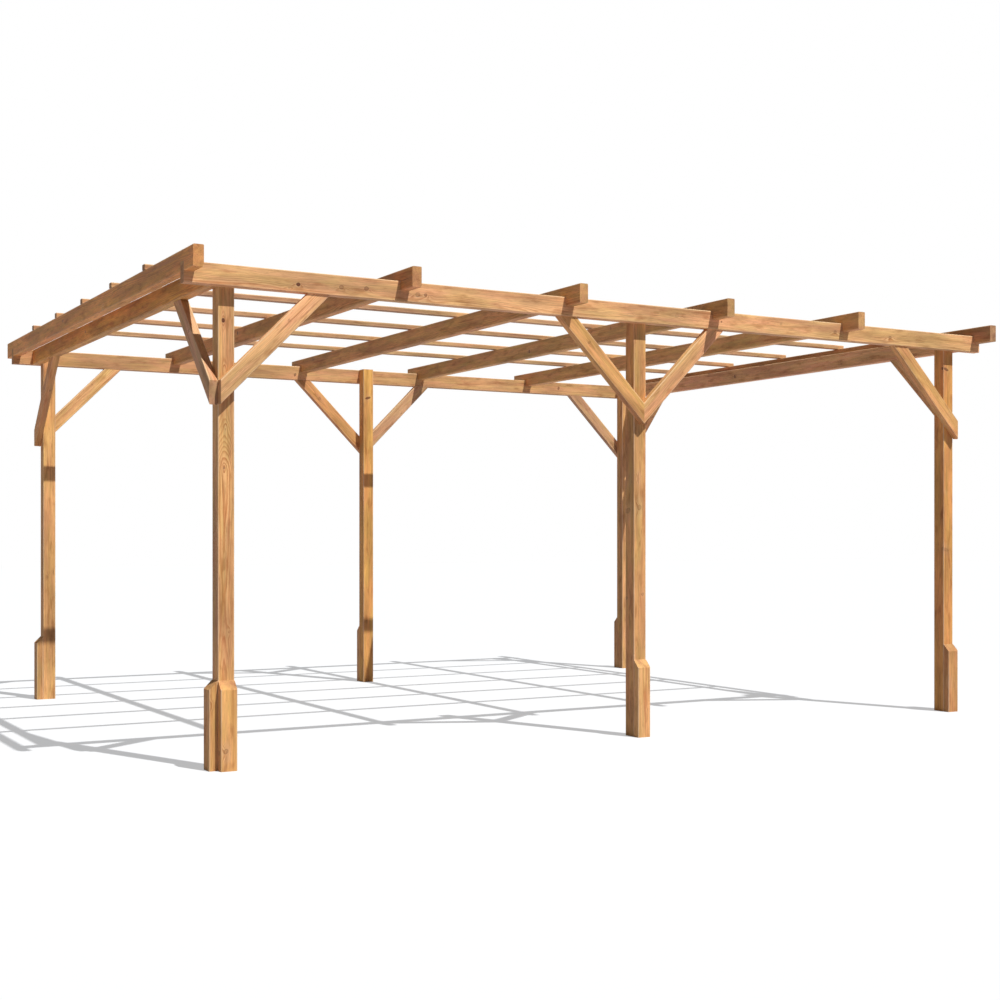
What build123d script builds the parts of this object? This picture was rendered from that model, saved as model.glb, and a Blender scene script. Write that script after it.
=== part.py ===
"""Free-standing timber pergola: six posts, a ring of beams, notched rafters and roof battens.

X runs along the wide front, Y from the front to the back and Z up. The origin is on the ground,
at the centre of the footprint. All sizes are in millimetres.
"""

from build123d import *
import os
from math import hypot

os.makedirs("parts", exist_ok=True)

# Overall sizes
beam_length = 4600        # front and back beams; the end rafters stand flush with their ends
rafter_length = 3560      # rafters over all, front to back
beam_top = 2104           # top of the four beams above the ground, and of the posts

# Timber sections
post_size = 72            # square posts
beam_thickness = 45
beam_depth = 90
rafter_width = 45
rafter_depth = 90
batten_width = 40
batten_depth = 25
brace_thickness = 38
brace_width = 72          # across the face of a knee brace, square to its length
cheek_thickness = 38      # boards fixed to the outer faces of the posts at the foot
arris = 4                 # radius of the planed long edges
batten_chamfer = 3        # the slim battens have their edges bevelled instead
screw_pocket = 10         # bore that sinks a screw's head, one in each batten over every rafter
pocket_depth = 3

# Layout
post_inset = 160          # outer face of a corner post in from the beam's end
rafter_overhang = 120     # rafter end beyond the beam's outer face
rafter_seat = 42          # depth that a rafter is notched down over a beam
notch_clearance = 1       # play of the beam in the rafter's notch, front to back
inner_rafters = 4         # besides one at each end
rafter_pitch = 865        # between the centres of the inner rafters
battens = 5
batten_pitch = 545        # between the centres of the battens
brace_reach = 490         # brace heel under the beam, from the post's far edge or centre
brace_drop = 490          # brace toe below the beam
cheek_height = 376        # foot cheek where it meets the post, its top falls away at 45 degrees

# Planes and faces that several pieces share
beam_bottom = beam_top - beam_depth
beam_end = beam_length / 2
beam_outer = rafter_length / 2 - rafter_overhang
beam_inner = beam_outer - beam_thickness          # also the outer face of the posts
post_outer_x = beam_end - post_inset
post_x = post_outer_x - post_size / 2
post_y = beam_inner - post_size / 2
rafter_bottom = beam_top - rafter_seat
rafter_top = rafter_bottom + rafter_depth
end_rafter_x = beam_end - rafter_width / 2
long_beam_y = (beam_outer + beam_inner) / 2


def spread(count, pitch):
    """Centres of count pieces set out evenly about the middle of the frame."""
    return [(index - (count - 1) / 2) * pitch for index in range(count)]


# Centre lines of the rafters from the left, which the battens' screws follow
rafter_places = [-end_rafter_x, *spread(inner_rafters, rafter_pitch), end_rafter_x]


def save(piece, name):
    """Label one finished piece and write it under the same name."""
    piece.part.label = name
    export_step(piece.part, f"parts/{name}.step")


def make_post(name, x, y):
    """Square post from the ground to the top of the beams."""
    with BuildPart() as post:
        with BuildSketch(Plane.XY):
            with Locations((x, y)):
                Rectangle(post_size, post_size)
        extrude(amount=beam_top)
        fillet(post.edges().filter_by(Axis.Z), arris)
    save(post, name)


def make_long_beam(name, y):
    """Beam across the outer faces of three posts."""
    with BuildPart() as beam:
        with BuildSketch(Plane.YZ):
            with Locations((y, beam_top - beam_depth / 2)):
                Rectangle(beam_thickness, beam_depth)
        extrude(amount=beam_end, both=True)
        fillet(beam.edges().filter_by(Axis.X), arris)
    save(beam, name)


def make_side_beam(name, x):
    """Beam on the outer faces of two corner posts, let in between the front and back beams."""
    with BuildPart() as beam:
        with BuildSketch(Plane.XZ):
            with Locations((x, beam_top - beam_depth / 2)):
                Rectangle(beam_thickness, beam_depth)
        extrude(amount=beam_inner, both=True)
        fillet(beam.edges().filter_by(Axis.Y), arris)
    save(beam, name)


def make_rafter(name, x):
    """Rafter on edge, square at both ends and notched over the front and back beams."""
    notch_outer = beam_outer + notch_clearance / 2
    notch_inner = beam_inner - notch_clearance / 2
    with BuildPart() as rafter:
        with BuildSketch(Plane.YZ.offset(x)):
            with BuildLine():
                Polyline(
                    (0, rafter_top),
                    (rafter_length / 2, rafter_top),
                    (rafter_length / 2, rafter_bottom),
                    (notch_outer, rafter_bottom),
                    (notch_outer, beam_top),
                    (notch_inner, beam_top),
                    (notch_inner, rafter_bottom),
                    (0, rafter_bottom),
                )
                mirror(about=Plane.YZ)
            make_face()
        extrude(amount=rafter_width / 2, both=True)
        long_edges = rafter.edges().filter_by(Axis.Y).group_by(Axis.Z)
        fillet(long_edges[0] + long_edges[-1], arris)
    save(rafter, name)


def make_batten(name, y):
    """Flat batten across the backs of all the rafters, bored for a screw into each of them."""
    with BuildPart() as batten:
        with BuildSketch(Plane.YZ):
            with Locations((y, rafter_top + batten_depth / 2)):
                Rectangle(batten_width, batten_depth)
        extrude(amount=beam_end, both=True)
        chamfer(batten.edges().filter_by(Axis.X), batten_chamfer)
        with Locations([(x, y, rafter_top + batten_depth) for x in rafter_places]):
            Hole(screw_pocket / 2, pocket_depth)
    save(batten, name)


def make_brace(name, x, y, run):
    """Knee brace that rises along run from its plumb cut at (x, y) to a level seat under a beam."""
    slope = brace_drop / brace_reach
    plumb_cut = brace_width * hypot(1, slope)
    seat_cut = plumb_cut / slope
    up = Vector(0, 0, 1)
    with BuildPart() as brace:
        with BuildSketch(Plane(origin=(x, y, beam_bottom), x_dir=run, z_dir=run.cross(up))):
            with BuildLine():
                Polyline(
                    (0, -brace_drop),
                    (brace_reach, 0),
                    (brace_reach - seat_cut, 0),
                    (0, plumb_cut - brace_drop),
                    close=True,
                )
            make_face()
        extrude(amount=brace_thickness / 2, both=True)
        grain = Axis((0, 0, 0), run * brace_reach + up * brace_drop)
        fillet(brace.edges().filter_by(grain), arris)
    save(brace, name)


def make_cheek(name, x, y, outward):
    """Foot board on the post face centred at (x, y), its top bevelled to shed water."""
    up = Vector(0, 0, 1)
    with BuildPart() as cheek:
        with BuildSketch(Plane(origin=(x, y, 0), x_dir=outward, z_dir=outward.cross(up))):
            with BuildLine():
                Polyline(
                    (0, 0),
                    (cheek_thickness, 0),
                    (cheek_thickness, cheek_height - cheek_thickness),
                    (0, cheek_height),
                    close=True,
                )
            make_face()
        extrude(amount=post_size / 2, both=True)
        fillet(cheek.edges().filter_by(Axis.Z), arris)
    save(cheek, name)


# Beams: one across the front, one across the back and one down each side
make_long_beam("front_beam", -long_beam_y)
make_long_beam("back_beam", long_beam_y)
make_side_beam("left_side_beam", -(post_outer_x + beam_thickness / 2))
make_side_beam("right_side_beam", post_outer_x + beam_thickness / 2)

# Posts, with a cheek at the foot of each outer face
for row, front_back in (("front", -1), ("back", 1)):
    outward_y = Vector(0, front_back, 0)
    for column, left_right in (("left", -1), ("middle", 0), ("right", 1)):
        post = f"{row}_{column}_post"
        make_post(post, left_right * post_x, front_back * post_y)
        make_cheek(f"{post}_{row}_cheek", left_right * post_x, front_back * beam_inner, outward_y)
        if left_right:
            outward_x = Vector(left_right, 0, 0)
            make_cheek(f"{post}_side_cheek", left_right * post_outer_x, front_back * post_y, outward_x)

# Knee braces under the front and back beams: one at each corner, two mitred together at the middle
for row, front_back in (("front", -1), ("back", 1)):
    brace_y = front_back * (beam_inner + brace_thickness / 2)
    for column, left_right in (("left", -1), ("right", 1)):
        inward = Vector(-left_right, 0, 0)
        make_brace(f"{row}_{column}_corner_brace", left_right * post_outer_x, brace_y, inward)
        make_brace(f"{row}_middle_{column}_brace", 0, brace_y, -inward)

# Knee braces under the side beams
for column, left_right in (("left", -1), ("right", 1)):
    brace_x = left_right * (post_outer_x + brace_thickness / 2)
    for row, front_back in (("front", -1), ("back", 1)):
        inward = Vector(0, -front_back, 0)
        make_brace(f"{column}_side_{row}_brace", brace_x, front_back * beam_inner, inward)

# Rafters, numbered from the left
for number, x in enumerate(rafter_places, start=1):
    make_rafter(f"rafter_{number}", x)

# Battens, numbered from the front
for number, y in enumerate(spread(battens, batten_pitch), start=1):
    make_batten(f"batten_{number}", y)
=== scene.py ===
import math
import random

import bpy
from mathutils import Matrix, Vector


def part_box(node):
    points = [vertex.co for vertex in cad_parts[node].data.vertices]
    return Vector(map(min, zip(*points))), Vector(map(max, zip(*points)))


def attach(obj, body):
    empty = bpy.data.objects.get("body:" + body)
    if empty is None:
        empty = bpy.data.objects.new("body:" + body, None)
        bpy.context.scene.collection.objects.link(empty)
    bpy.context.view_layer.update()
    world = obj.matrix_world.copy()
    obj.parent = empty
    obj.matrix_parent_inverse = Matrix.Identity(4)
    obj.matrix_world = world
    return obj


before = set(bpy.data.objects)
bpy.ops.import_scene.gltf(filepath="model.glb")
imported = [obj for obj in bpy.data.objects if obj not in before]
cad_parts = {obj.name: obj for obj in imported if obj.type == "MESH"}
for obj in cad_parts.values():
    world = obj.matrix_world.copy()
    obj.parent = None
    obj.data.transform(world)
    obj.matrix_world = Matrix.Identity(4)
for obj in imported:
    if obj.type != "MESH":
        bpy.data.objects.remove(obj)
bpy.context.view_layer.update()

# ---------------------------------------------------------------------------------------------
# Posts. Six lengths of 72 mm square planed softwood stand in two rows of three and carry the long
# beams. Each is sawn beside the heart of its log, so its growth rings run as straight lines on two
# faces and close in tall arches on the other two.

UP = Vector((0, 0, 1))
ALONG_X = Vector((1, 0, 0))
ALONG_Y = Vector((0, 1, 0))


def stain(red, green, blue):
    """A finish given as it looks on a colour chart, 0 to 255, in the light values that nodes use."""
    return tuple(
        c / 12.92 if c <= 0.04045 else ((c + 0.055) / 1.055) ** 2.4
        for c in (red / 255, green / 255, blue / 255)
    )


def put(tree, kind, *feeds, **settings):
    """Adds one node and feeds its inputs in order: a socket is linked, a value is set."""
    node = tree.nodes.new("ShaderNode" + kind)
    for title, value in settings.items():
        setattr(node, title, value)
    for socket, value in zip(node.inputs, feeds):
        if isinstance(value, bpy.types.NodeSocket):
            tree.links.new(value, socket)
        elif value is not None:
            socket.default_value = value
    return node.outputs[0]


def maths(tree, operation, *feeds):
    return put(tree, "Math", *feeds, operation=operation)


def vectors(tree, operation, *feeds):
    node = put(tree, "VectorMath", *feeds, operation=operation).node
    return node.outputs["Value" if operation in ("DOT_PRODUCT", "LENGTH") else "Vector"]


def ease(tree, value, start, end, low=0.0, high=1.0):
    """Turns smoothly from low, where value is start, to high, where it is end."""
    return put(tree, "MapRange", value, start, end, low, high, interpolation_type="SMOOTHSTEP")


def scaled(tree, vector, by):
    """A vector or a colour multiplied by one number."""
    node = tree.nodes.new("ShaderNodeVectorMath")
    node.operation = "SCALE"
    tree.links.new(vector, node.inputs[0])
    tree.links.new(by, node.inputs["Scale"])
    return node.outputs[0]


def mottle(tree, place, stretch, detail, offset):
    """Noise between 0 and 1, stretched by stretch along each axis and shifted by offset."""
    moved = vectors(tree, "ADD", vectors(tree, "MULTIPLY", place, stretch), offset)
    return put(tree, "TexNoise", moved, None, 1.0, detail, 0.55)


def mix(tree, share, first, second, how="MIX"):
    """Mixes two colours by share."""
    node = tree.nodes.new("ShaderNodeMix")
    node.data_type = "RGBA"
    node.blend_type = how
    for socket, value in ((node.inputs[0], share), (node.inputs[6], first), (node.inputs[7], second)):
        if isinstance(value, bpy.types.NodeSocket):
            tree.links.new(value, socket)
        else:
            socket.default_value = value if isinstance(value, float) else (*value, 1.0)
    return node.outputs[2]


def new_group(title, takes, gives):
    """An empty node group with named inputs and outputs, and the sockets to build between."""
    group = bpy.data.node_groups.new(title, "ShaderNodeTree")
    for side, sockets in (("INPUT", takes), ("OUTPUT", gives)):
        for name, kind in sockets.items():
            group.interface.new_socket(name, in_out=side, socket_type="NodeSocket" + kind)
    inside, outside = group.nodes.new("NodeGroupInput"), group.nodes.new("NodeGroupOutput")
    return group, inside.outputs, outside.inputs


def call(tree, group, **feeds):
    """Puts a group in a tree and feeds its named inputs; an underscore stands for a space."""
    node = tree.nodes.new("ShaderNodeGroup")
    node.node_tree = group
    for title, value in feeds.items():
        socket = node.inputs[title.replace("_", " ")]
        if isinstance(value, bpy.types.NodeSocket):
            tree.links.new(value, socket)
        else:
            socket.default_value = value
    return node.outputs


def times(tree, first, second):
    return maths(tree, "MULTIPLY", first, second)


# A knot is the root of a branch: a rod that grows from the heart out through the rings, which bulge
# round it. Shows is 1 for a dark knot, less for a paler one, and 0 where it stays buried and only its
# bulge shows, as an arch or an eye. Knots are chained, each adding to the swirl, core and bark so far.
KNOT_THINNEST = 0.4       # a branch's girth at the heart, beside its full girth
KNOT_FULL_AT = 0.06       # how far from the heart it is full grown, in metres
BARK_AT = 1.12            # where the ring of bark lies, in radii of the knot
BULGE_BESIDE = 1.7        # how far off the rings bulge beside a knot, in its radii
BULGE_HEIGHT = 0.9        # how far they bulge out over it, in its radii

knot_group, given, result = new_group(
    "knot",
    {"Place": "Vector", "Root": "Vector", "Branch": "Vector", "Size": "Float", "Shows": "Float"}
    | {"Swirl": "Float", "Core": "Float", "Bark": "Float"},
    {"Swirl": "Float", "Core": "Float", "Bark": "Float"},
)
from_root = vectors(knot_group, "SUBTRACT", given["Place"], given["Root"])
outwards = vectors(knot_group, "DOT_PRODUCT", from_root, given["Branch"])
outwards = maths(knot_group, "MAXIMUM", outwards, 0.0)
aside = vectors(knot_group, "SUBTRACT", from_root, scaled(knot_group, given["Branch"], outwards))
grown = ease(knot_group, outwards, 0.0, KNOT_FULL_AT, KNOT_THINNEST, 1.0)
girth = times(knot_group, given["Size"], grown)
ragged = mottle(knot_group, given["Place"], (90, 130, 130), 2.0, (3, 1, 7))
across_core = vectors(knot_group, "LENGTH", vectors(knot_group, "MULTIPLY", aside, (0.8, 1, 1)))
out_of_core = maths(knot_group, "DIVIDE", across_core, girth)
out_of_core = maths(knot_group, "ADD", out_of_core, times(knot_group, ragged, 0.4))
core = times(knot_group, ease(knot_group, out_of_core, 0.95, 1.25, 1.0, 0.0), given["Shows"])
bark_line = maths(knot_group, "ABSOLUTE", maths(knot_group, "SUBTRACT", out_of_core, BARK_AT))
bark = times(knot_group, ease(knot_group, bark_line, 0.0, 0.3, 1.0, 0.0), given["Shows"])
long_way = vectors(knot_group, "LENGTH", vectors(knot_group, "MULTIPLY", aside, (0.28, 1, 1)))
reach = maths(knot_group, "DIVIDE", long_way, times(knot_group, given["Size"], BULGE_BESIDE))
fall = maths(knot_group, "EXPONENT", times(knot_group, maths(knot_group, "POWER", reach, 2.0), -1.0))
bulge = times(knot_group, fall, times(knot_group, given["Size"], BULGE_HEIGHT))
knot_group.links.new(maths(knot_group, "ADD", given["Swirl"], bulge), result["Swirl"])
knot_group.links.new(maths(knot_group, "MAXIMUM", given["Core"], core), result["Core"])
knot_group.links.new(maths(knot_group, "MAXIMUM", given["Bark"], bark), result["Bark"])

# The wood itself. Rings lie round a heart that wanders along the log, each pale in its spring wood
# and darker in its summer wood. Streaks, fine fibres, resin flecks, slow patches of colour, rubbed
# arrises with a painted highlight, hairline drying cracks and the open pores of the end grain lie over
# them.
WANDER = 0.022            # how far the heart strays in all, in metres
RING_WAVE = 0.005         # how uneven a ring is round the log, in metres
YEARS_VARY = 2.2          # how much good and bad years widen or narrow the rings
PALE_BY_KNOT = stain(248, 212, 158)
RESIN = stain(176, 104, 58)
WARM_BLUSH = (1.04, 0.95, 0.98)
GREEN_BLUSH = (0.99, 1.01, 0.91)
KNOT_WOOD = stain(112, 64, 36)
KNOT_BARK = stain(66, 38, 24)
# The pale of rubbed arrises, which also serves as a painted highlight along them.
RUBBED_AND_HIGHLIGHT_WOOD = stain(244, 208, 160)
CRACK = stain(84, 48, 28)
END_GRAIN = stain(168, 130, 98)

wood_group, given, result = new_group(
    "planed softwood",
    {"Place": "Vector", "Half": "Vector", "Heart": "Vector", "Lean": "Vector", "Chance": "Vector"}
    | {"Crook": "Vector", "Bend Start": "Float", "Bend End": "Float", "Figure": "Float"}
    | {"Ring": "Float", "End": "Float", "Sky": "Float"}
    | {"Swirl": "Float", "Core": "Float", "Bark": "Float"}
    | {"Spring": "Color", "Summer": "Color", "Patch": "Color", "Streak": "Color"},
    {"Colour": "Color", "Roughness": "Float", "Height": "Float"},
)
place, chance = given["Place"], given["Chance"]


def layer(stretch, detail, shift):
    """A mottle of the wood that differs from piece to piece by its chance and from layer to layer."""
    return mottle(wood_group, place, stretch, detail, vectors(wood_group, "ADD", chance, shift))


def tint(under, pattern, start, end, share, tone):
    """Lays up to a share of one tone over the wood, from where a pattern is start to where it is end."""
    return mix(wood_group, ease(wood_group, pattern, start, end, 0.0, share), under, tone)


length_only = vectors(wood_group, "MULTIPLY", place, (1, 0, 0))
wander = mottle(wood_group, length_only, (2.1, 0, 0), 1.0, chance)
shifted = vectors(wood_group, "ADD", chance, (9, 4, 2))
wander_too = mottle(wood_group, length_only, (1.3, 0, 0), 1.0, shifted)
wandered = put(
    wood_group,
    "CombineXYZ",
    0.0,
    times(wood_group, maths(wood_group, "SUBTRACT", wander, 0.5), WANDER),
    times(wood_group, maths(wood_group, "SUBTRACT", wander_too, 0.5), WANDER),
)
along_piece = put(wood_group, "SeparateXYZ", place)
leaned = scaled(wood_group, given["Lean"], along_piece)
past_bend = ease(wood_group, along_piece, given["Bend Start"], given["Bend End"])
bent = scaled(wood_group, given["Crook"], past_bend)
heart_here = vectors(wood_group, "ADD", given["Heart"], leaned)
heart_here = vectors(wood_group, "ADD", heart_here, wandered)
heart_here = vectors(wood_group, "ADD", heart_here, bent)
from_heart = vectors(wood_group, "SUBTRACT", place, heart_here)
from_heart = vectors(wood_group, "MULTIPLY", from_heart, (0, 1, 1))
radius = vectors(wood_group, "LENGTH", from_heart)
uneven = mottle(wood_group, place, (3.0, 24, 24), 3.0, chance)
wave = times(wood_group, maths(wood_group, "SUBTRACT", uneven, 0.5), RING_WAVE)
waved = maths(wood_group, "ADD", radius, wave)
bulged = maths(wood_group, "SUBTRACT", waved, given["Swirl"])
ring_line = put(wood_group, "CombineXYZ", bulged, 0.0, 0.0)
good_years = mottle(wood_group, ring_line, (70, 0, 0), 1.0, chance)
years = maths(wood_group, "DIVIDE", bulged, given["Ring"])
years = maths(wood_group, "ADD", years, times(wood_group, good_years, YEARS_VARY))

# One year, from the end of the last summer through the pale spring to the next dark summer.
summer = put(wood_group, "ValToRGB", maths(wood_group, "FRACT", years)).node
summer.color_ramp.interpolation = "EASE"
for stop, dark in ((0.1, 0.0), (0.45, 0.1), (0.8, 0.75), (0.93, 1.0)):
    point = summer.color_ramp.elements.new(stop)
    point.color = (dark, dark, dark, 1)
summer.color_ramp.elements[0].color = (0.8, 0.8, 0.8, 1)
summer.color_ramp.elements[-1].color = (0.8, 0.8, 0.8, 1)
strong_years = mottle(wood_group, ring_line, (28, 0, 0), 1.0, (5, 5, 5))
strength = ease(wood_group, strong_years, 0.3, 0.7, 0.25, 0.9)
by_knot = ease(wood_group, given["Swirl"], 0.0004, 0.005)
summer_share = times(wood_group, summer.outputs[0], strength)
summer_share = times(wood_group, summer_share, ease(wood_group, by_knot, 0.0, 1.0, 0.8, 1.5))
summer_share = times(wood_group, summer_share, given["Figure"])
spring_wood = mix(wood_group, times(wood_group, by_knot, 0.35), given["Spring"], PALE_BY_KNOT)
colour = mix(wood_group, summer_share, spring_wood, given["Summer"])

# Slow patches, streaks, flecks, dapples and runs of resin, from the broadest to the rarest.
colour = tint(colour, layer((1.6, 11, 11), 3.0, (1, 8, 3)), 0.36, 0.7, 0.6, given["Patch"])
colour = tint(colour, layer((2.6, 95, 95), 3.0, (4, 4, 9)), 0.5, 0.78, 0.55, given["Streak"])
colour = tint(colour, layer((30, 260, 260), 2.0, (0, 0, 0)), 0.6, 0.74, 0.45, given["Streak"])
colour = tint(colour, layer((9, 36, 36), 3.0, (8, 5, 3)), 0.5, 0.74, 0.6, given["Streak"])
colour = tint(colour, layer((1.6, 52, 52), 1.0, (7, 1, 4)), 0.68, 0.73, 0.5, RESIN)
blush = ease(wood_group, layer((4.2, 26, 26), 2.0, (2, 9, 6)), 0.36, 0.64)
blush = mix(wood_group, blush, WARM_BLUSH, GREEN_BLUSH)
colour = mix(wood_group, 1.0, colour, blush, how="MULTIPLY")
fibres = layer((12, 480, 480), 2.0, (0, 0, 0))
cloud = layer((2.2, 13, 13), 3.0, (6, 2, 5))
tone = ease(wood_group, fibres, 0.3, 0.7, 0.85, 1.15)
tone = times(wood_group, tone, ease(wood_group, cloud, 0.32, 0.68, 0.78, 1.22))
colour = scaled(wood_group, colour, tone)
colour = mix(wood_group, times(wood_group, given["Core"], 0.85), colour, KNOT_WOOD)
colour = mix(wood_group, times(wood_group, given["Bark"], 0.8), colour, KNOT_BARK)

# Long arrises are rubbed pale and carry a painted highlight where they face up or sideways, and
# unevenly; the painted highlight fades on arrises that face down, which lie in shade.
inset = vectors(wood_group, "SUBTRACT", given["Half"], vectors(wood_group, "ABSOLUTE", place))
from_side = put(wood_group, "SeparateXYZ", inset).node.outputs
to_arris = maths(wood_group, "MAXIMUM", from_side["Y"], from_side["Z"])
rubbed_and_highlight = ease(wood_group, to_arris, 0.0015, 0.007, 0.8, 0.0)
rubbed_and_highlight = times(wood_group, rubbed_and_highlight, ease(wood_group, uneven, 0.3, 0.6, 0.3, 1.0))
rubbed_and_highlight = times(wood_group, rubbed_and_highlight, ease(wood_group, given["Sky"], -0.5, -0.05, 0.1, 1.0))
colour = mix(wood_group, rubbed_and_highlight, colour, RUBBED_AND_HIGHLIGHT_WOOD)

# Drying cracks are the thin lines where a long mottle passes through its middle value.
split = layer((0.7, 34, 34), 1.0, (2, 7, 1))
split = maths(wood_group, "ABSOLUTE", maths(wood_group, "SUBTRACT", split, 0.5))
split = ease(wood_group, split, 0.0, 0.006, 1.0, 0.0)
dry = layer((1.4, 9, 9), 1.0, (3, 3, 8))
split = times(wood_group, split, ease(wood_group, dry, 0.62, 0.68))
colour = mix(wood_group, times(wood_group, split, 0.75), colour, CRACK)
end_share = ease(wood_group, given["End"], 0.45, 0.72)
colour = mix(wood_group, times(wood_group, end_share, 0.3), colour, END_GRAIN)
wood_group.links.new(colour, result["Colour"])

# Summer wood is the shinier and stands proud, the core of a knot is polished, end grain is dull.
dull = ease(wood_group, summer_share, 0.0, 1.0, 0.72, 0.58)
dull = maths(wood_group, "ADD", dull, times(wood_group, end_share, 0.2))
dull = maths(wood_group, "SUBTRACT", dull, times(wood_group, given["Core"], 0.2))
wood_group.links.new(dull, result["Roughness"])
proud = times(wood_group, summer_share, 0.6)
height = maths(wood_group, "ADD", proud, times(wood_group, fibres, 0.5))
hollow = maths(wood_group, "ADD", given["Bark"], times(wood_group, split, 2.0))
wood_group.links.new(maths(wood_group, "SUBTRACT", height, hollow), result["Height"])

# The timbers come from several logs, some darker, yellower or paler than others under the stain. Each
# is given beside the honey log, whose tones come first.
TONES = {
    "Spring": stain(230, 180, 114),
    "Summer": stain(182, 116, 58),
    "Patch": stain(214, 154, 102),
    "Streak": stain(164, 102, 54),
}
LOGS = {
    "honey": (1.0, 1.0, 1.0),
    "amber": (0.9, 0.88, 0.85),
    "russet": (0.92, 0.91, 0.66),
    "ruddy": (1.13, 0.97, 0.82),
    "straw": (1.02, 0.98, 0.8),
    "cream": (1.06, 1.1, 1.18),
    "blond": (1.13, 1.22, 1.4),
    "pale": (1.2, 1.3, 1.56),
    "weathered": (0.83, 0.91, 1.2),
    "aged": (0.79, 0.81, 1.1),
    "silvered": (0.89, 0.95, 1.18),
}
SHADE_VARIES = 0.03       # how far two timbers of one log differ
RING_WIDTH = 0.003        # one year's growth, in metres
BRANCH_RISE = 0.25        # how far a branch climbs for each metre outwards
GRAIN_HEIGHT = 0.0006     # how proud the summer wood stands, in metres


def spans(node, directions):
    """How far a node's mesh reaches each way along three directions at right angles."""
    points = [v.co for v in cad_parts[node].data.vertices]
    return [(min(p.dot(d) for p in points), max(p.dot(d) for p in points)) for d in directions]


def saw(node, along, across, heart, log="honey", lean=0.03, knots=(), crook=None, figure=1.0, grain=0):
    """Gives a node wood whose fibres run along it. The heart's place across the piece and the lean of
    the log are in metres and metres for each metre. A knot is the place where it leaves the piece,
    from the piece's middle, its radius, and how strongly it shows, with 0 for a buried one. A crook is
    where along the piece the heart shifts, over what length, and how far each way. Figure is the
    strength of the rings, and grain picks another draw of the same wood."""
    axes = (along, across, along.cross(across))
    reaches = spans(node, axes)
    middle = sum(((low + high) / 2 * d for (low, high), d in zip(reaches, axes)), Vector())
    half = tuple((high - low) / 2 for low, high in reaches)
    chance = random.Random(f"{node} {grain}")
    material = bpy.data.materials.new(node + "_timber")
    material.use_nodes = True
    tree = material.node_tree
    shader = tree.nodes["Principled BSDF"]
    laid = tree.nodes.new("ShaderNodeMapping")
    laid.vector_type = "TEXTURE"
    laid.inputs["Location"].default_value = middle
    laid.inputs["Rotation"].default_value = Matrix(axes).transposed().to_euler()
    tree.links.new(tree.nodes.new("ShaderNodeTexCoord").outputs["Object"], laid.inputs["Vector"])
    place = laid.outputs[0]
    normal = tree.nodes.new("ShaderNodeNewGeometry").outputs["Normal"]
    facing = vectors(tree, "DOT_PRODUCT", normal, along)
    away = math.atan2(heart[1], heart[0]) + math.radians(chance.uniform(-20, 20))
    leaning = (0.0, lean * math.cos(away), lean * math.sin(away))
    if crook is None:
        crook = (chance.uniform(-0.4, 0.4) * half[0], chance.uniform(0.3, 0.6))
        crook += (chance.uniform(-0.008, 0.008), chance.uniform(-0.008, 0.008))
    bend_middle, bend_length, bend_side, bend_third = crook
    so_far = {"Swirl": 0.0, "Core": 0.0, "Bark": 0.0}
    for stand, side, third, girth, shows in knots:
        start = Vector((stand, heart[0] + leaning[1] * stand, heart[1] + leaning[2] * stand))
        out = Vector((stand, side, third)) - start
        rise = Vector((BRANCH_RISE * out.length, 0, 0))
        added = call(
            tree,
            knot_group,
            Place=place,
            Root=start - rise,
            Branch=(out + rise).normalized(),
            Size=girth,
            Shows=float(shows),
            **so_far,
        )
        so_far = {title: added[title] for title in so_far}
    shade = [c * chance.uniform(1 - SHADE_VARIES, 1 + SHADE_VARIES) for c in LOGS[log]]
    tones = {part: tuple(c * k for c, k in zip(tone, shade)) + (1.0,) for part, tone in TONES.items()}
    wood = call(
        tree,
        wood_group,
        Place=place,
        Half=half,
        Heart=(0.0, heart[0], heart[1]),
        Lean=leaning,
        Crook=(0.0, bend_side, bend_third),
        Bend_Start=bend_middle - bend_length / 2,
        Bend_End=bend_middle + bend_length / 2,
        Figure=figure,
        Chance=tuple(chance.uniform(10, 90) for _ in range(3)),
        Ring=RING_WIDTH,
        End=maths(tree, "ABSOLUTE", facing),
        Sky=vectors(tree, "DOT_PRODUCT", normal, UP),
        **tones,
        **so_far,
    )
    tree.links.new(wood["Colour"], shader.inputs["Base Color"])
    tree.links.new(wood["Roughness"], shader.inputs["Roughness"])
    bump = tree.nodes.new("ShaderNodeBump")
    bump.inputs["Strength"].default_value = 0.6
    bump.inputs["Distance"].default_value = GRAIN_HEIGHT
    tree.links.new(wood["Height"], bump.inputs["Height"])
    tree.links.new(bump.outputs["Normal"], shader.inputs["Normal"])
    shader.inputs["Specular IOR Level"].default_value = 0.3
    for place_for_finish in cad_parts[node].material_slots:
        place_for_finish.material = material


def off_heart(node, near=0.045, far=0.08):
    """Where the heart of the log lay: beyond one of the piece's four long edges."""
    chance = random.Random("log of " + node)
    return [chance.choice((-1, 1)) * chance.uniform(near, far) for _ in range(2)]


SHOWS_IN_TURN = (0.0, 0.3, 0.0, 0.7)


def scatter(node, count, length, breadth, depth, size):
    """A few knots on any of the four sides, drawn by chance from the node's name and spaced out along
    its length, each up to size in radius. Half of them are buried and the others more or less dark."""
    chance = random.Random("knots of " + node)
    gap = length / count
    found = []
    for i in range(count):
        stand = -length / 2 + gap * (i + chance.uniform(0.2, 0.8))
        side = chance.choice((-0.5, 0.5))
        level = chance.uniform(-0.38, 0.38)
        spot = (side, level) if chance.random() < depth / (breadth + depth) else (level, side)
        shows = SHOWS_IN_TURN[i % len(SHOWS_IN_TURN)]
        found.append((stand, spot[0] * breadth, spot[1] * depth, size * chance.uniform(0.5, 1.0), shows))
    return found


ROWS = ("front", "back")
COLUMNS = ("left", "middle", "right")
KNOT_SIZE = 0.009
POST_LOGS = {
    "front_left_post": "cream",
    "front_right_post": "straw",
    "back_middle_post": "straw",
    "back_right_post": "cream",
}
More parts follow.
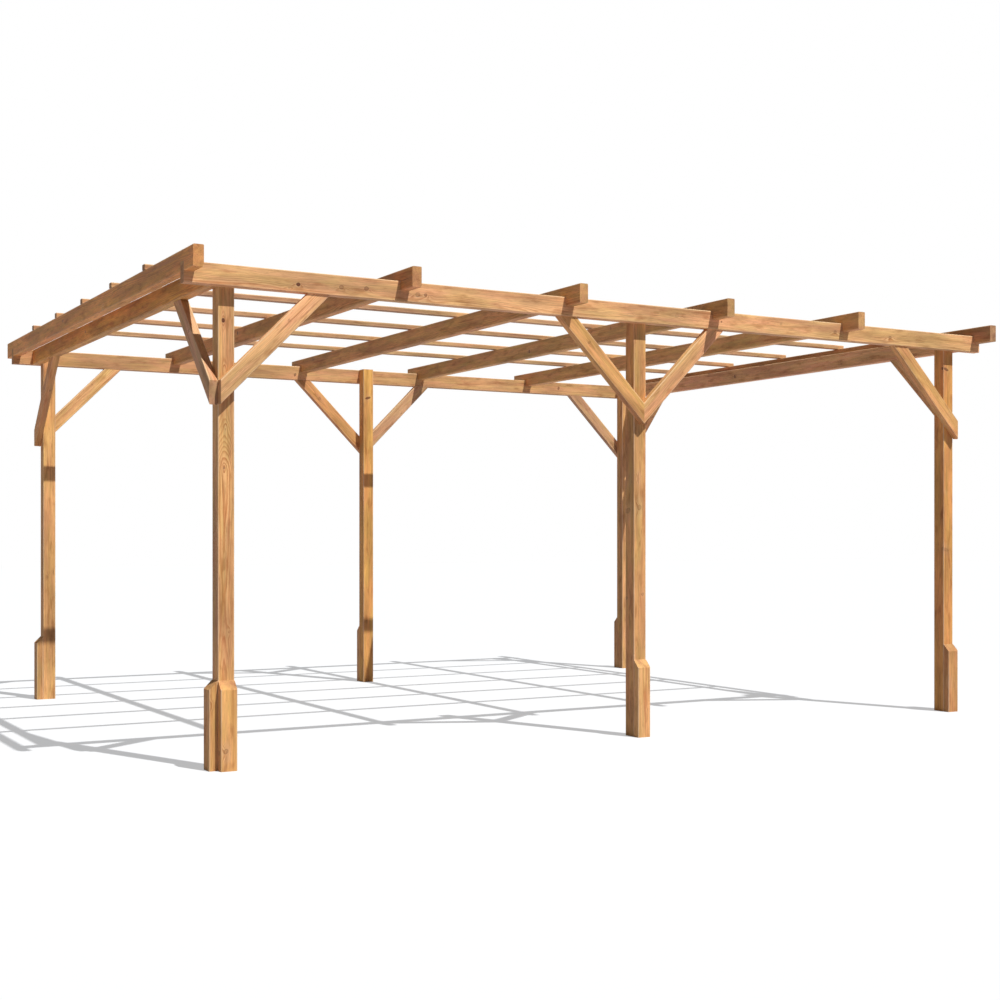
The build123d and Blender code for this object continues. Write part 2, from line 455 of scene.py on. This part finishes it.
# The left front post shows a dead knot near its head and, on the same face, a run of nested arches,
# where the heart shifts towards that face.
FRONT_LEFT_KNOTS = [
    (0.825, -0.013, -0.036, 0.0068, 1.2),
    (0.615, -0.007, -0.036, 0.007, 0.0),
    (0.38, -0.002, -0.036, 0.005, 0.0),
    (0.21, -0.009, -0.036, 0.004, 0.5),
    (-0.474, 0.014, -0.036, 0.005, 0.2),
    (-0.2, 0.036, 0.01, 0.008, 0.8),
]
FRONT_LEFT_CROOK = (0.31, 0.26, 0.0, 0.022)
# On three other posts the place of one knot is known: near the head of two, half way up the third.
KNOWN_KNOTS = {
    "back_middle_post": (0.859, -0.004, -0.036, 0.006, 1.0),
    "front_right_post": (0.86, -0.016, -0.036, 0.006, 0.9),
    "front_middle_post": (0.052, -0.036, 0.0135, 0.01, 0.35),
}
for row in ROWS:
    for column in COLUMNS:
        post = f"{row}_{column}_post"
        low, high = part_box(post)
        size = high - low
        if post == "front_left_post":
            wood = {"heart": (-0.008, 0.03), "lean": 0.003, "knots": FRONT_LEFT_KNOTS}
            wood |= {"crook": FRONT_LEFT_CROOK, "figure": 1.8, "grain": 2}
        else:
            knots = scatter(post, 4, size.z, size.x, size.y, KNOT_SIZE)
            knots[-1] = KNOWN_KNOTS.get(post, knots[-1])
            wood = {"heart": off_heart(post), "lean": 0.014, "knots": knots, "grain": 9}
        saw(post, UP, ALONG_X, log=POST_LOGS.get(post, "honey"), **wood)

# ---------------------------------------------------------------------------------------------
# Cheeks. Short boards with a bevelled top are fixed to the outer faces of each post's foot, to
# stiffen it where it stands on the ground.

CHEEK_LOGS = {
    "front_middle_post_front_cheek": "cream",
    "front_right_post_front_cheek": "amber",
}
# The left front cheek has a pale knot near the ground and a buried one just below it.
FRONT_LEFT_CHEEK_KNOTS = [
    (-0.104, -0.015, -0.019, 0.008, 0.4),
    (-0.122, -0.006, -0.019, 0.006, 0.0),
]
for node in sorted(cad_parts):
    if node.endswith("_cheek"):
        low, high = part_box(node)
        size = high - low
        knots = scatter(node, 1, size.z, size.x, size.y, KNOT_SIZE)
        if node == "front_left_post_front_cheek":
            knots = FRONT_LEFT_CHEEK_KNOTS
        saw(node, UP, ALONG_X, off_heart(node), log=CHEEK_LOGS.get(node, "honey"), knots=knots, grain=8)

# ---------------------------------------------------------------------------------------------
# Beams. Two long beams lie on edge along the outer faces of the post rows, and two side beams
# join them under the end rafters.

# The front beam's knots, left to right, each with its height above the beam's middle.
FRONT_BEAM_KNOTS = [
    (-1.801, -0.0225, -0.012, 0.0068, 1.2),
    (-1.842, -0.0225, -0.03, 0.004, 0.3),
    (-1.602, -0.0225, -0.007, 0.008, 0.5),
    (-1.484, -0.0225, -0.003, 0.008, 0.55),
    (-1.234, -0.0225, -0.009, 0.009, 0.4),
    (-1.195, -0.0225, -0.007, 0.006, 0.6),
    (-0.086, -0.0225, -0.004, 0.006, 0.0),
    (0.191, -0.0225, 0.004, 0.009, 0.15),
    (0.467, -0.0225, -0.005, 0.004, 0.8),
    (0.854, -0.0225, 0.012, 0.006, 0.25),
    (1.223, -0.0225, -0.004, 0.008, 0.45),
    (1.617, -0.0225, -0.007, 0.008, 0.45),
]
saw(
    "front_beam",
    ALONG_X,
    ALONG_Y,
    (0.06, -0.05),
    log="blond",
    lean=0.008,
    knots=FRONT_BEAM_KNOTS,
    figure=1.6,
    grain=3,
)
low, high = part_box("back_beam")
size = high - low
saw(
    "back_beam",
    ALONG_X,
    ALONG_Y,
    off_heart("back_beam"),
    log="silvered",
    lean=0.01,
    knots=scatter("back_beam", 9, size.x, size.y, size.z, KNOT_SIZE),
    figure=1.5,
    grain=6,
)
for node, log in (("left_side_beam", "russet"), ("right_side_beam", "pale")):
    low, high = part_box(node)
    size = high - low
    knots = scatter(node, 6, size.y, size.x, size.z, KNOT_SIZE)
    saw(node, ALONG_Y, ALONG_X, off_heart(node), log=log, lean=0.01, knots=knots, figure=1.5)

# ---------------------------------------------------------------------------------------------
# Braces. Twelve short lengths set at 45 degrees, mitred against the post and under the beam,
# keep the frame square.

BRACE_LENGTH = 0.55
BRACE_THICKNESS = 0.038
BRACE_WIDTH = 0.072
BRACE_LOGS = {
    "front_left_corner_brace": "pale",
    "front_middle_right_brace": "blond",
    "left_side_front_brace": "weathered",
    "right_side_front_brace": "pale",
    "back_left_corner_brace": "blond",
    "back_middle_left_brace": "amber",
    "back_middle_right_brace": "weathered",
    "back_right_corner_brace": "weathered",
}
for node in sorted(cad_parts):
    if node.endswith("_brace"):
        low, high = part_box(node)
        points = [v.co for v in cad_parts[node].data.vertices]
        upper = [p for p in points if p.z > high.z - 0.01]
        run = sum(upper, Vector()) / len(upper) - (low + high) / 2
        across_frame = abs(run.y) > abs(run.x)
        level = Vector((0, run.y, 0)) if across_frame else Vector((run.x, 0, 0))
        side = ALONG_X if across_frame else ALONG_Y
        along = (level.normalized() + UP).normalized()
        knots = scatter(node, 2, BRACE_LENGTH, BRACE_THICKNESS, BRACE_WIDTH, 0.008)
        log = BRACE_LOGS.get(node, "honey")
        saw(node, along, side, off_heart(node), log=log, lean=0.02, knots=knots, grain=3)

# ---------------------------------------------------------------------------------------------
# Rafters. Six joists lie on edge across the long beams and are notched to sit over them.

RAFTER_LOGS = ("ruddy", "amber", "honey", "cream", "cream", "aged")
for number, log in enumerate(RAFTER_LOGS, start=1):
    node = f"rafter_{number}"
    low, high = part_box(node)
    size = high - low
    knots = scatter(node, 6, size.y, size.x, size.z, KNOT_SIZE)
    saw(node, ALONG_Y, ALONG_X, off_heart(node), log=log, lean=0.012, knots=knots, figure=1.5)

# ---------------------------------------------------------------------------------------------
# Battens. Five slim laths run the whole length on top of the rafters and tie them together.

for number in range(1, 6):
    node = f"batten_{number}"
    low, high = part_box(node)
    size = high - low
    knots = scatter(node, 7, size.x, size.y, size.z, 0.005)
    saw(node, ALONG_X, ALONG_Y, off_heart(node, 0.03, 0.05), log="weathered", lean=0.01, knots=knots)

# ---------------------------------------------------------------------------------------------
# Roof screws. Yellow zinc-plated wood screws with six-lobed recesses hold the roof down: a pan head
# sunk in a pocket where each batten crosses a rafter, and a broad flanged head on each rafter over
# the front and back beams.

POCKET_DEPTH = 0.003
SIDES = 28                # facets round a head


def step(tree, kind, *feeds, **settings):
    """Adds one geometry node and feeds its inputs in order: a socket is linked, a value is set."""
    node = tree.nodes.new("GeometryNode" + kind)
    for title, value in settings.items():
        setattr(node, title, value)
    for socket, value in zip([i for i in node.inputs if i.enabled], feeds):
        if isinstance(value, bpy.types.NodeSocket):
            tree.links.new(value, socket)
        elif value is not None:
            socket.default_value = value
    return node.outputs[0]


screw_tree = bpy.data.node_groups.new("screw heads", "GeometryNodeTree")
for name, kind in (
    ("Places", "Geometry"),
    ("Flange Radius", "Float"),
    ("Flange Height", "Float"),
    ("Head Radius", "Float"),
    ("Head Height", "Float"),
    ("Recess Radius", "Float"),
    ("Recess Depth", "Float"),
    ("Finish", "Material"),
    ("Seed", "Int"),
):
    screw_tree.interface.new_socket(name, in_out="INPUT", socket_type="NodeSocket" + kind)
screw_tree.interface.new_socket("Screws", in_out="OUTPUT", socket_type="NodeSocketGeometry")
given = screw_tree.nodes.new("NodeGroupInput").outputs
crown = times(screw_tree, given["Head Radius"], 0.78)
inner = times(screw_tree, given["Recess Radius"], 0.72)
full_height = maths(screw_tree, "ADD", given["Flange Height"], given["Head Height"])
head_sizes = (crown, given["Head Radius"], given["Head Height"])
side = step(screw_tree, "MeshCone", SIDES, 1, *head_sizes, fill_type="NONE")
under = step(screw_tree, "MeshCircle", SIDES, given["Head Radius"], fill_type="NGON")
under = step(screw_tree, "FlipFaces", under)
lift = screw_tree.nodes.new("ShaderNodeCombineXYZ")
screw_tree.links.new(given["Flange Height"], lift.inputs["Z"])
skirt = screw_tree.nodes.new("GeometryNodeJoinGeometry")
for part in (side, under):
    screw_tree.links.new(part, skirt.inputs[0])
side = step(screw_tree, "Transform", skirt.outputs[0], None, lift.outputs[0])
rim = step(screw_tree, "CurvePrimitiveCircle", SIDES, crown, mode="RADIUS")
lobes = step(screw_tree, "CurveStar", 6, inner, given["Recess Radius"])
rounded = step(screw_tree, "FilletCurve", lobes, 3, times(screw_tree, inner, 0.3), None, mode="POLY")
both = screw_tree.nodes.new("GeometryNodeJoinGeometry")
for curve in (rim, rounded):
    screw_tree.links.new(curve, both.inputs[0])
top = step(screw_tree, "FillCurve", both.outputs[0])
floor_of_recess = step(screw_tree, "FillCurve", rounded)
down = (0, 0, -1)
sunk = step(screw_tree, "ExtrudeMesh", floor_of_recess, None, down, given["Recess Depth"], False)
face = screw_tree.nodes.new("GeometryNodeJoinGeometry")
for part in (top, sunk):
    screw_tree.links.new(part, face.inputs[0])
rise = screw_tree.nodes.new("ShaderNodeCombineXYZ")
screw_tree.links.new(full_height, rise.inputs["Z"])
face = step(screw_tree, "Transform", face.outputs[0], None, rise.outputs[0])
flange_sizes = (given["Flange Radius"], given["Flange Height"])
flange = step(screw_tree, "MeshCylinder", SIDES, 1, 1, *flange_sizes)
half_way = screw_tree.nodes.new("ShaderNodeCombineXYZ")
screw_tree.links.new(times(screw_tree, given["Flange Height"], 0.5), half_way.inputs["Z"])
flange = step(screw_tree, "Transform", flange, None, half_way.outputs[0])
head = screw_tree.nodes.new("GeometryNodeJoinGeometry")
for part in (side, face, flange):
    screw_tree.links.new(part, head.inputs[0])
head = step(screw_tree, "MergeByDistance", head.outputs[0], None, 0.00001)
turned = screw_tree.nodes.new("FunctionNodeRandomValue")
turned.data_type = "FLOAT_VECTOR"
turned.inputs[0].default_value = (0, 0, 0)
turned.inputs[1].default_value = (0, 0, 2 * math.pi)
screw_tree.links.new(given["Seed"], turned.inputs["Seed"])
placed = screw_tree.nodes.new("GeometryNodeInstanceOnPoints")
screw_tree.links.new(given["Places"], placed.inputs["Points"])
screw_tree.links.new(head, placed.inputs["Instance"])
screw_tree.links.new(turned.outputs[0], placed.inputs["Rotation"])
finished = step(screw_tree, "RealizeInstances", placed.outputs[0])
finished = step(screw_tree, "SetMaterial", finished, None, given["Finish"])
screw_tree.links.new(finished, screw_tree.nodes.new("NodeGroupOutput").inputs[0])

zinc = bpy.data.materials.new("yellow_zinc")
zinc.use_nodes = True
tree = zinc.node_tree
shader = tree.nodes["Principled BSDF"]
shader.inputs["Metallic"].default_value = 1.0
spot = tree.nodes.new("ShaderNodeTexCoord").outputs["Object"]
bloom = mottle(tree, spot, (220, 220, 220), 3.0, (0, 0, 0))
plating = mix(tree, ease(tree, bloom, 0.35, 0.65), stain(206, 178, 118), stain(188, 168, 132))
tree.links.new(plating, shader.inputs["Base Color"])
wear = mottle(tree, spot, (900, 900, 900), 2.0, (3, 3, 3))
tree.links.new(ease(tree, wear, 0.3, 0.7, 0.28, 0.5), shader.inputs["Roughness"])


def drive(title, places, seed, **sizes):
    """Sets a screw head at each place and leaves them as one plain mesh."""
    points = bpy.data.meshes.new(title)
    points.from_pydata(places, [], [])
    screws = bpy.data.objects.new(title, points)
    bpy.context.scene.collection.objects.link(screws)
    making = screws.modifiers.new("heads", "NODES")
    making.node_group = screw_tree
    values = {name.replace("_", " "): value for name, value in sizes.items()}
    values |= {"Finish": zinc, "Seed": seed}
    for socket in screw_tree.interface.items_tree:
        if socket.in_out == "INPUT" and socket.name in values:
            making[socket.identifier] = values[socket.name]
    ready = screws.evaluated_get(bpy.context.evaluated_depsgraph_get())
    heads = bpy.data.meshes.new_from_object(ready)
    screws.modifiers.remove(making)
    screws.data = heads
    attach(screws, "root")


rafter_boxes = [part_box(f"rafter_{number}") for number in range(1, 7)]
batten_boxes = [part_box(f"batten_{number}") for number in range(1, 6)]
in_battens = [
    ((rafter_low.x + rafter_high.x) / 2, (low.y + high.y) / 2, high.z - POCKET_DEPTH)
    for low, high in batten_boxes
    for rafter_low, rafter_high in rafter_boxes
]
over_beams = []
for beam in ("front_beam", "back_beam"):
    low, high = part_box(beam)
    over_beams += [((a.x + b.x) / 2, (low.y + high.y) / 2, b.z) for a, b in rafter_boxes]
drive(
    "batten_screws",
    in_battens,
    4,
    Flange_Radius=0.0043,
    Flange_Height=0.0007,
    Head_Radius=0.0041,
    Head_Height=0.0019,
    Recess_Radius=0.0022,
    Recess_Depth=0.0017,
)
drive(
    "rafter_screws",
    over_beams,
    7,
    Flange_Radius=0.0085,
    Flange_Height=0.0014,
    Head_Radius=0.0056,
    Head_Height=0.0026,
    Recess_Radius=0.0032,
    Recess_Depth=0.0026,
)

# ---------------------------------------------------------------------------------------------
# Studio. A pale floor that takes the shadow, a high sun lamp from the front and an even soft fill.

FLOOR_REACH = 40.0
FLOOR_SEEN = (0.466, 0.47, 0.474)       # the floor's own tone
FLOOR_THROWN = (0.44, 0.415, 0.505)     # the light it throws back up at the timber
FLOOR_GLOW = 0.46                       # lifts the seen floor to white, and its shadows to pale grey
FLOOR_GLOW_TONE = (0.985, 1.0, 1.02, 1)


def seen(tree):
    """1 for what the viewer sees, straight or in a reflection, and 0 for light on its way."""
    rays = tree.nodes.new("ShaderNodeLightPath").outputs
    straight = maths(tree, "MAXIMUM", rays["Is Camera Ray"], rays["Is Glossy Ray"])
    return maths(tree, "MAXIMUM", straight, rays["Is Transmission Ray"])


floor_mesh = bpy.data.meshes.new("studio_floor")
floor_mesh.from_pydata(
    [(x * FLOOR_REACH, y * FLOOR_REACH, 0.0) for x, y in ((-1, -1), (1, -1), (1, 1), (-1, 1))],
    [],
    [(0, 1, 2, 3)],
)
floor = bpy.data.objects.new("studio_floor", floor_mesh)
bpy.context.scene.collection.objects.link(floor)
floor_finish = bpy.data.materials.new("studio_floor")
floor_finish.use_nodes = True
tree = floor_finish.node_tree
tree.nodes.remove(tree.nodes["Principled BSDF"])
shown = seen(tree)
matt = tree.nodes.new("ShaderNodeBsdfDiffuse")
tree.links.new(mix(tree, shown, FLOOR_THROWN, FLOOR_SEEN), matt.inputs["Color"])
glow = tree.nodes.new("ShaderNodeEmission")
glow.inputs["Color"].default_value = FLOOR_GLOW_TONE
tree.links.new(times(tree, shown, FLOOR_GLOW), glow.inputs["Strength"])
both = tree.nodes.new("ShaderNodeAddShader")
tree.links.new(matt.outputs[0], both.inputs[0])
tree.links.new(glow.outputs[0], both.inputs[1])
tree.links.new(both.outputs[0], tree.nodes["Material Output"].inputs["Surface"])
floor_mesh.materials.append(floor_finish)

FILL = 0.05               # the soft light all round, under a backdrop that is seen as white

world = bpy.data.worlds.new("studio")
bpy.context.scene.world = world
world.use_nodes = True
tree = world.node_tree
fill = ease(tree, seen(tree), 0.0, 1.0, FILL, 1.0)
tree.nodes["Background"].inputs["Color"].default_value = (1, 1, 1, 1)
tree.links.new(fill, tree.nodes["Background"].inputs["Strength"])

SUN_FROM = Vector((0.366, -1.0, 1.785))
lamp = bpy.data.lights.new("sun", "SUN")
lamp.energy = 4.1
lamp.angle = math.radians(0.53)
lamp.color = (1.0, 1.0, 1.0)
sun = bpy.data.objects.new("sun", lamp)
sun.rotation_mode = "QUATERNION"
sun.rotation_quaternion = SUN_FROM.to_track_quat("Z", "Y")
bpy.context.scene.collection.objects.link(sun)

# The camera stands level at the height of a seated viewer, turned towards the left front post.
sight = bpy.data.cameras.new("camera")
sight.sensor_width = 36
sight.lens = 53.29
sight.shift_x = -0.0082
sight.shift_y = 0.0377
sight.clip_end = 200
camera = bpy.data.objects.new("camera", sight)
camera.location = (-4.185, -7.549, 0.971)
camera.rotation_euler = (math.radians(90), 0, math.radians(-30.11))
bpy.context.scene.collection.objects.link(camera)
bpy.context.scene.camera = camera
bpy.context.scene.view_settings.view_transform = "Standard"
